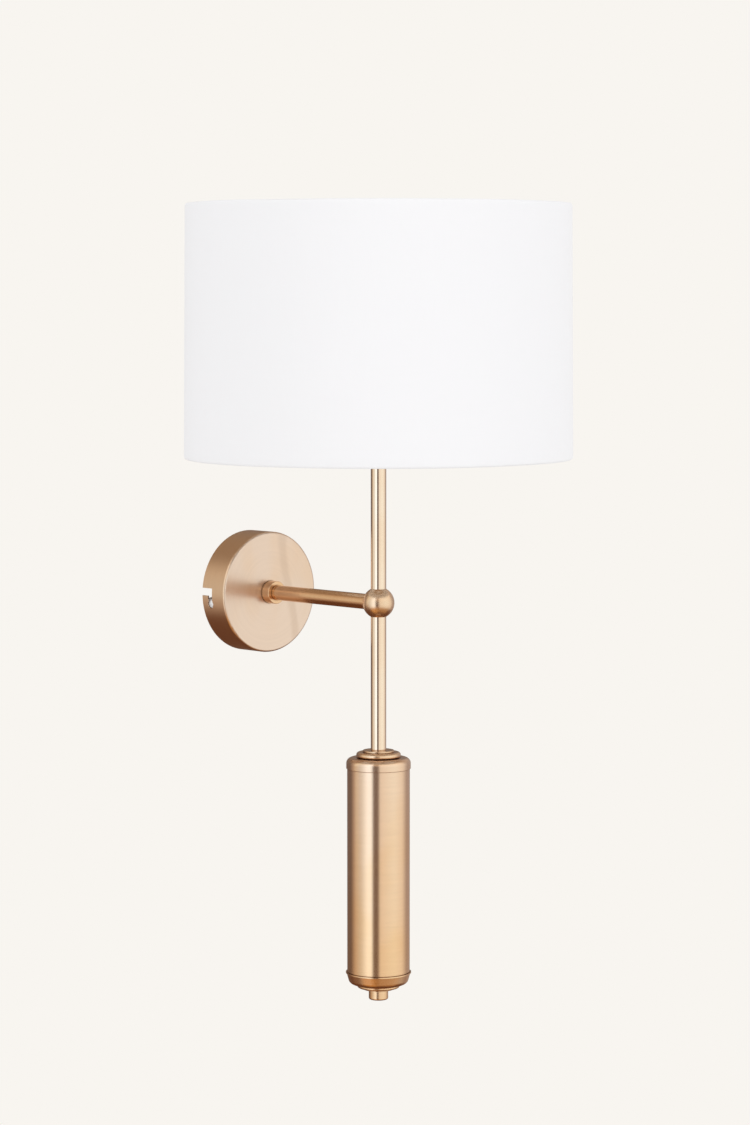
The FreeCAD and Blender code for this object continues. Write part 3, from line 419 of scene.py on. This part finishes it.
def shade_cloth(material):
    """The fabric: up the outside, rolled over both wire rings and tucked in behind them."""
    low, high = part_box("shade_fabric")
    top_low, top_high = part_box("shade_top_wire")
    foot_r = (high[0] - low[0]) / 2
    wire_r = (top_high[2] - top_low[2]) / 2
    top_ring_r = (top_high[0] - top_low[0]) / 2 - wire_r
    skin = 0.45 * MM
    over_wire = 1.3 * MM
    roll = 2.05 * MM
    turned_in = 1.5 * MM
    tuck_start = 3.2 * MM
    tuck_end = 10.5 * MM
    head_r = top_ring_r + wire_r + over_wire
    foot = (foot_r - skin / 2 - roll, low[2] + skin / 2 + roll)
    head = (head_r - skin / 2 - roll, high[2] - skin / 2 - roll)
    inner_foot = foot_r - turned_in
    inner_head = head_r - turned_in
    path = [(inner_foot, foot[1] + tuck_end), (inner_foot, foot[1] + tuck_start)]
    path += bend(foot, roll, 150, 360, 12)
    walls = 24
    for i in range(1, walls):
        share = i / walls
        out = foot[0] + roll + share * (head[0] - foot[0])
        path.append((out, foot[1] + share * (head[1] - foot[1])))
    path += bend(head, roll, 0, 210, 12)
    path += [(inner_head, head[1] - tuck_start), (inner_head, head[1] - tuck_end)]
    lengths = [0.0]
    for a, b in zip(path, path[1:]):
        lengths.append(lengths[-1] + math.dist(a, b))
    normals = []
    for i in range(len(path)):
        a = path[max(i - 1, 0)]
        b = path[min(i + 1, len(path) - 1)]
        run = math.dist(a, b)
        normals.append(((b[1] - a[1]) / run, -(b[0] - a[0]) / run))
    section = [(p, n, 0.5, s) for p, n, s in zip(path, normals, lengths)]
    section += [(p, n, -0.5, s) for p, n, s in reversed(list(zip(path, normals, lengths)))]
    sides = 240
    seam_at = math.pi / 2
    seam_step = 0.35 * MM
    seam_half = 5 * MM
    seam_soft = 2 * MM
    wander_out = 0.10 * MM
    wander_up = 0.16 * MM
    points = []
    flat = []
    for (radius, height), normal, side, length in section:
        for k in range(sides):
            angle = TURN * k / sides
            from_seam = abs((angle - seam_at + math.pi) % TURN - math.pi) * foot_r
            lap = 0.0
            if side > 0:
                lap = seam_step * max(0.0, min(1.0, (seam_half - from_seam) / seam_soft))
            out = side * skin + lap + uneven(angle, length * 12, wander_out)
            r = radius + normal[0] * out
            z = height + normal[1] * out + uneven(angle, length * 5 + 9, wander_up)
            points.append(on_stem(r * math.cos(angle), r * math.sin(angle), z))
            flat.append((angle * foot_r, length))
    faces = ring_faces(len(section), sides, True)
    cloth = mesh_piece("shade_cloth", points, faces, "shade", material, flat)
    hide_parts("shade_fabric")


# ---- threads ----

def lamp_cap_thread(material):
    """The lamp's screw cap, a thin shell with a rolled E27 thread."""
    low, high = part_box("lamp_cap")
    radius = (high[0] - low[0]) / 2
    shell = 0.45 * MM
    pitch = 3.62 * MM
    depth = 1.3 * MM
    bottom = low[2]
    top = high[2]
    shoulder = bottom + 2.4 * MM
    hole_r = radius * 0.36
    foot_r = radius * 0.80
    plain_top = 1.5 * MM
    outline = [(hole_r, bottom, False), (foot_r, bottom, False)]
    outline += [(radius, z, True) for z in heights(shoulder, top, 0.25 * MM)]
    inside = reversed(heights(shoulder + shell, top, 6 * MM))
    outline += [(radius - depth - shell, z, False) for z in inside]
    outline += [(foot_r, bottom + shell, False), (hole_r, bottom + shell, False)]
    span = (shoulder, top - plain_top)
    points, faces = threaded_tube(outline, 96, pitch, depth, span, on_stem)
    cap = mesh_piece("lamp_cap_thread", points, faces, "lamp", material)
    sharpen(cap, 50)
    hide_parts("lamp_cap")


def holder_sleeve_thread(material):
    """The lampholder's outer sleeve: a flange that carries the shade, and a moulded thread above it."""
    low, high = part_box("holder_sleeve")
    flange_r = (high[0] - low[0]) / 2
    radius = 19.6 * MM
    bore = 16.2 * MM
    flange_low = low[2] + 3.8 * MM
    flange_high = flange_low + 2.3 * MM
    edge = 0.4 * MM
    pitch = 3.0 * MM
    depth = 1.2 * MM
    neck = 1.4 * MM
    outline = [(bore, low[2], False), (radius, low[2], False), (radius, flange_low, False)]
    outline += [(flange_r - edge, flange_low, False), (flange_r, flange_low + edge, False)]
    outline += [(flange_r, flange_high - edge, False), (flange_r - edge, flange_high, False)]
    outline += [(radius, flange_high, False)]
    outline += [(radius, z, True) for z in heights(flange_high + edge, high[2] - edge, 0.3 * MM)]
    outline += [(radius - neck, high[2], False), (bore, high[2], False)]
    span = (flange_high + edge, high[2] - edge)
    points, faces = threaded_tube(outline, 120, pitch, depth, span, on_stem)
    sleeve = mesh_piece("holder_sleeve_thread", points, faces, "lamp_arm", material)
    sharpen(sleeve, 50)
    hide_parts("holder_sleeve")


def arm_pipe_thread(material):
    """The arm's pipe, threaded where it passes through the canopy's stack of nuts and washers."""
    low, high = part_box("arm_pipe")
    radius = (high[0] - low[0]) / 2
    bore = 4.1 * MM
    near = -high[1]
    far = -low[1]
    thread_end = near + 19 * MM
    edge = 0.4 * MM
    pitch = 1.0 * MM
    depth = 0.6 * MM
    outline = [(bore, near, False), (radius - edge, near, False)]
    outline += [(radius, z, True) for z in heights(near + edge, thread_end, pitch / 8)]
    outline += [(radius, far, False), (bore, far, False)]
    points, faces = threaded_tube(outline, 64, pitch, depth, (near, thread_end), on_arm)
    pipe = mesh_piece("arm_pipe_thread", points, faces, "lamp_arm", material)
    sharpen(pipe, 60)
    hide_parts("arm_pipe")


def lamp_globe_shell(material):
    """The lamp's opal globe, a thin shell that is open at its foot."""
    low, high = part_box("lamp_globe")
    radius = (high[0] - low[0]) / 2
    middle = high[2] - radius
    wall = 0.9 * MM
    inside = radius - wall
    path = []
    for shell in (inside, radius):
        foot = math.degrees(math.asin((low[2] - middle) / shell))
        arc = bend((0, middle), shell, foot, 90, 40)[:-1]
        path += arc[::-1] if shell == inside else arc
    sides = 96
    points = []
    for r, height in path:
        for k in range(sides):
            angle = TURN * k / sides
            points.append(on_stem(r * math.cos(angle), r * math.sin(angle), height))
    faces = ring_faces(len(path), sides, False)
    last = (len(path) - 1) * sides
    inner_pole = len(points)
    outer_pole = inner_pole + 1
    points += [on_stem(0, 0, middle + inside), on_stem(0, 0, middle + radius)]
    for k in range(sides):
        after = (k + 1) % sides
        faces.append((inner_pole, after, k))
        faces.append((last + k, last + after, outer_pole))
    globe = mesh_piece("lamp_globe_shell", points, faces, "lamp", material)
    sharpen(globe, 60)
    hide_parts("lamp_globe")


# ---- light, floor and camera ----

def add_camera():
    """The camera, left of the light and a little above the ball."""
    heading = math.radians(CAMERA_TURN)
    back = Vector((math.sin(heading), -math.cos(heading), 0))
    camera = bpy.data.cameras.new("camera")
    camera.lens = CAMERA_LENS
    camera.sensor_width = 36.0
    camera.clip_end = 60.0
    eye = bpy.data.objects.new("camera", camera)
    eye.location = Vector((STEM_X, STEM_Y, 0)) + back * CAMERA_DISTANCE + Vector((0, 0, CAMERA_RISE))
    turn = Matrix.Rotation(math.radians(CAMERA_TURN + CAMERA_YAW), 4, "Z")
    tilt = Matrix.Rotation(math.radians(90 + CAMERA_PITCH), 4, "X")
    eye.rotation_euler = (turn @ tilt).to_euler()
    bpy.context.scene.collection.objects.link(eye)
    bpy.context.scene.camera = eye


def around(degrees):
    """Level direction from the stem, degrees to the right of where the camera stands."""
    turn = math.radians(CAMERA_TURN + degrees)
    return Vector((math.sin(turn), -math.cos(turn), 0))


def add_softbox(name, degrees, distance, height, width, tall, watts, color):
    """A lit panel aimed at the ball, which neither the camera nor a reflection sees."""
    light = bpy.data.lights.new(name, "AREA")
    light.shape = "RECTANGLE"
    light.size = width
    light.size_y = tall
    light.energy = watts
    light.color = color
    lamp = bpy.data.objects.new(name, light)
    lamp.location = Vector((STEM_X, STEM_Y, 0)) + around(degrees) * distance + Vector((0, 0, height))
    aim = Vector((STEM_X, STEM_Y, 0)) - lamp.location
    lamp.rotation_euler = aim.to_track_quat("-Z", "Y").to_euler()
    lamp.visible_camera = False
    lamp.visible_glossy = False
    bpy.context.scene.collection.objects.link(lamp)


class Studio:
    """The world: a pale backdrop for the camera, and soft panels round the room for reflections."""

    def __init__(self):
        world = bpy.data.worlds.new("studio")
        bpy.context.scene.world = world
        world.use_nodes = True
        self.tree = world.node_tree
        self.tree.nodes.clear()
        place = self.tree.nodes.new("ShaderNodeTexCoord").outputs["Generated"]
        turned = self.make("ShaderNodeVectorRotate", {"rotation_type": "Z_AXIS"})
        self.link(place, turned.inputs["Vector"])
        turned.inputs["Angle"].default_value = math.radians(-CAMERA_TURN)
        parts = self.make("ShaderNodeSeparateXYZ")
        self.link(turned.outputs[0], parts.inputs[0])
        toward = self.math("MULTIPLY", parts.outputs["Y"], -1.0)
        self.side = self.math("ARCTAN2", parts.outputs["X"], toward)
        self.rise = self.math("ARCSINE", parts.outputs["Z"])

    def make(self, kind, settings=None):
        made = self.tree.nodes.new(kind)
        for key, value in (settings or {}).items():
            setattr(made, key, value)
        return made

    def link(self, a, b):
        self.tree.links.new(a, b)

    def math(self, operation, a, b=0.0):
        made = self.make("ShaderNodeMath", {"operation": operation})
        for i, value in enumerate((a, b)):
            if isinstance(value, bpy.types.NodeSocket):
                self.link(value, made.inputs[i])
            else:
                made.inputs[i].default_value = value
        return made.outputs[0]

    def edge(self, value, at, soft):
        """0 well below at degrees and 1 well above, or the other way round if soft is negative."""
        made = self.make("ShaderNodeMapRange", {"interpolation_type": "SMOOTHSTEP"})
        self.link(value, made.inputs["Value"])
        made.inputs["From Min"].default_value = math.radians(at - soft)
        made.inputs["From Max"].default_value = math.radians(at + soft)
        return made.outputs["Result"]

    def window(self, value, low, high):
        """1 between low and high and 0 outside, each given as (degrees, softness)."""
        above = self.edge(value, low[0], low[1])
        return self.math("MULTIPLY", above, self.edge(value, high[0], -high[1]))

    def tint(self, share, color):
        made = self.make("ShaderNodeVectorMath", {"operation": "SCALE"})
        made.inputs[0].default_value = color
        self.link(share, made.inputs["Scale"])
        return made.outputs[0]

    def add(self, a, b):
        made = self.make("ShaderNodeVectorMath", {"operation": "ADD"})
        self.link(a, made.inputs[0])
        self.link(b, made.inputs[1])
        return made.outputs[0]

    def panel(self, left, right, foot, head, color):
        """A soft-edged panel: left and right of the camera, foot and head from level, in degrees."""
        across = self.window(self.side, left, right)
        return self.tint(self.math("MULTIPLY", across, self.window(self.rise, foot, head)), color)

    def light_path(self, socket):
        return self.make("ShaderNodeLightPath").outputs[socket]

    def blend(self, share, a, b):
        made = self.make("ShaderNodeMix", {"data_type": "RGBA"})
        for index, value in ((0, share), (6, a), (7, b)):
            if isinstance(value, bpy.types.NodeSocket):
                self.link(value, made.inputs[index])
            else:
                made.inputs[index].default_value = value
        return made.outputs[2]

    def build(self, panels, room, fill, backdrop):
        """Reflections see the panels over the room's own tones. fill lights matt surfaces."""
        floor, level, ceiling = room
        tone = self.blend(self.edge(self.rise, -16, 18), (*floor, 1), (*level, 1))
        tone = self.blend(self.edge(self.rise, 24, 22), tone, (*ceiling, 1))
        for panel in panels:
            tone = self.add(tone, panel)
        matt = self.tint(fill, (1.0, 1.0, 1.0))
        seen = self.blend(self.light_path("Is Glossy Ray"), matt, tone)
        seen = self.blend(self.light_path("Is Camera Ray"), seen, (*backdrop, 1))
        background = self.make("ShaderNodeBackground")
        self.link(seen, background.inputs["Color"])
        output = self.make("ShaderNodeOutputWorld")
        self.link(background.outputs[0], output.inputs["Surface"])


def add_studio():
    """Two tall softboxes with a gap between them, dim walls beside them and a wooden floor."""
    studio = Studio()
    foot = (-31, 8)
    head = (48, 16)
    panels = [
        # the wall beside the left softbox
        studio.panel((-108, 16), (-78, 12), (-26, 12), (36, 16), (0.42, 0.34, 0.25)),
        # the left softbox, its bright middle and its wider upper half
        studio.panel((-78, 13), (-22, 4), foot, head, (0.66, 0.73, 0.72)),
        studio.panel((-52, 18), (-22, 4), foot, head, (0.50, 0.64, 0.78)),
        studio.panel((-95, 7), (-78, 8), (-9, 4), head, (0.30, 0.38, 0.34)),
        # the right softbox and its bright middle
        studio.panel((2, 4), (111, 18), foot, head, (0.80, 0.81, 0.74)),
        studio.panel((30, 30), (80, 20), foot, head, (0.08, 0.16, 0.18)),
        # the wall above the gap, and the wall beside the right softbox
        studio.panel((-22, 5), (3, 5), (16, 8), head, (0.26, 0.20, 0.14)),
        studio.panel((112, 14), (170, 14), (-30, 12), (40, 14), (0.27, 0.25, 0.24)),
        # light on the floor in front of each softbox
        studio.panel((-74, 16), (-16, 12), (-70, 10), (-31, 8), (0.52, 0.29, 0.08)),
        studio.panel((-16, 12), (96, 20), (-64, 12), (-31, 8), (0.35, 0.22, 0.09)),
    ]
    room = ((0.14, 0.055, 0.024), (0.195, 0.16, 0.145), (0.36, 0.26, 0.17))
    fill = studio.math("ADD", studio.math("MULTIPLY", studio.rise, 0.04), 0.86)
    studio.build(panels, room, fill, PAPER_WHITE)


def add_floor():
    """A pale floor under the light, which fades into the backdrop."""
    m = Maker("studio_floor")
    place = m.node("ShaderNodeTexCoord").outputs["Object"]
    reach = m.node("ShaderNodeVectorMath", {"operation": "LENGTH"})
    m.set(reach, 0, place)
    sides = 96
    radius = 1.5
    below = 0.9
    fade = m.steep(reach.outputs["Value"], 0.55, radius - 0.05)
    mottle = m.noise(m.coordinates(), 6.0, 3.0)
    m.principled(Base_Color=m.mix(mottle, (0.88, 0.86, 0.82), (0.91, 0.89, 0.85)), Roughness=0.85)
    clear = m.node("ShaderNodeBsdfTransparent")
    blend = m.node("ShaderNodeMixShader")
    m.set(blend, 0, fade)
    m.set(blend, 1, m.shader.outputs[0])
    m.set(blend, 2, clear.outputs[0])
    m.set(m.tree.nodes["Material Output"], "Surface", blend.outputs[0])
    points = []
    for k in range(sides):
        angle = TURN * k / sides
        points.append((radius * math.cos(angle), radius * math.sin(angle), 0))
    mesh = bpy.data.meshes.new("floor")
    mesh.from_pydata(points, [], [tuple(range(sides))])
    mesh.materials.append(m.material)
    floor = bpy.data.objects.new("floor", mesh)
    floor.location = (STEM_X, STEM_Y, cad_low[2] - below)
    floor.visible_glossy = False
    bpy.context.scene.collection.objects.link(floor)


# ---- finishes of the CAD parts ----

def paint_cad_parts():
    """Gives every CAD node its finish, and returns the finishes by material slot."""
    stem_axis = (STEM_X, STEM_Y, 0)
    arm_axis = (STEM_X, 0, 0)
    # The stem's brass is a paler copy of the same brass, with lower roughness for its smoother finish:
    # the paler colour is a painted highlight.
    drawn = brass(
        "satin_brass_drawn", "Z", stem_axis, 0.10, 0.30, (0.88, 0.71, 0.57), (0.84, 0.61, 0.44))
    turned = brass("satin_brass_turned", "Z", stem_axis, 0.245, 0.55, BRASS_PALE, BRASS_GOLD)
    polished = brass("satin_brass_ball", "Z", stem_axis, 0.27, 0.25, (0.82, 0.60, 0.43), BRASS_GOLD)
    # The canopy's plate carries a painted reflection: a darker slanting streak.
    spun = brass(
        "satin_brass_spun", "Y", arm_axis, 0.29, 0.50, (0.80, 0.635, 0.535), (0.80, 0.57, 0.40),
        47.4 * MM, True)
    # The arm's brass is a darker copy of the same brass: painted shade, for how the arm is lit.
    drawn_arm = brass(
        "satin_brass_arm", "Y", arm_axis, 0.19, 0.35, (0.80, 0.53, 0.33), (0.76, 0.47, 0.26))
    by_node = {
        "stem_upper_tube": drawn, "stem_lower_tube": drawn,
        "ball_joint": polished, "finial_knob": polished,
        "weight_neck_disc": polished, "weight_neck_ring": polished, "weight_foot_ring": polished,
        "canopy": spun,
        "arm_collar": drawn_arm, "arm_tube": drawn_arm, "arm_end_ring": drawn_arm,
    }
    zinc = plain_metal("zinc_plate", (0.84, 0.85, 0.87), 0.42, 0.10, 900.0, 0.5)
    thread = plain_metal("zinc_thread", (0.55, 0.56, 0.58), 0.36, 0.16)
    nickel = plain_metal("nickel_plate", (0.93, 0.93, 0.94), 0.38, 0.04, 900.0, 0.35)
    plain = plain_metal("terminal_brass", (0.76, 0.60, 0.31), 0.30, 0.12)
    white = moulded("white_plastic", (0.86, 0.86, 0.84), 0.42)
    iron = moulded("cast_iron", (0.10, 0.10, 0.105), 0.62, 0.08, 500.0)
    fibre = moulded("fibre", (0.42, 0.25, 0.13), 0.60, 0.05, 700.0)
    sheath = moulded("flex_sheath", (0.84, 0.84, 0.82), 0.45)
    brown_blue_green = ((0.16, 0.07, 0.035), (0.03, 0.10, 0.42), (0.30, 0.42, 0.03))
    by_slot = {
        "zinc_steel": zinc, "threaded_steel": thread, "nickel_screws": nickel, "terminal_brass": plain,
        "white_plastic": white, "fibre": fibre, "cast_iron": iron, "flex_sheath": sheath,
        "ceramic": moulded("steatite", (0.84, 0.82, 0.77), 0.55),
        "core_insulation": striped_by_place(
            "core_insulation", brown_blue_green, STEM_X, 3.5 * MM, 0.21),
        "earth_insulation": moulded("earth_insulation", (0.30, 0.42, 0.03), 0.42),
        # The liner is a greyer warm white than white styrene: painted shade for the inside of the shade,
        # which the ball and arm reflect.
        "shade_liner": moulded("liner_laminate", (0.76, 0.73, 0.68), 0.42, 0.015, 500.0),
        "shade_wire": moulded("white_powder_coat", (0.84, 0.84, 0.83), 0.40, 0.05, 1500.0),
        "lamp_opal": opal("lamp_opal"),
        "lamp_housing": moulded("lamp_housing", (0.87, 0.87, 0.86), 0.40),
        "lamp_cap": plain_metal("lamp_cap_nickel", (0.74, 0.73, 0.71), 0.22, 0.08),
        "lamp_insulator": moulded("lamp_insulator", (0.02, 0.02, 0.022), 0.15, 0.01),
    }
    for entry in frame["record"]["subparts"]:
        node = entry["node"]
        name = entry["material_slot"]
        if name == "satin_brass":
            paint(node, by_node.get(node, turned))
        elif name in by_slot:
            paint(node, by_slot[name])
    return by_slot


# ---- the scene ----

finishes = paint_cad_parts()
shade_cloth(weave("shade_cotton", (0.94, 0.937, 0.95), 0.42 * MM, 0.06 * MM))
lamp_cap_thread(finishes["lamp_cap"])
holder_sleeve_thread(finishes["white_plastic"])
arm_pipe_thread(finishes["threaded_steel"])
lamp_globe_shell(finishes["lamp_opal"])
add_studio()
add_floor()
add_softbox("key_left", -38, 2.2, 0.7, 1.1, 1.6, 6.2, (1.0, 0.985, 0.98))
add_softbox("key_right", 52, 2.4, 0.6, 1.4, 1.8, 9.5, (1.0, 0.99, 1.0))
add_camera()
bpy.context.scene.view_settings.view_transform = "Standard"
bpy.context.scene.view_settings.look = "None"
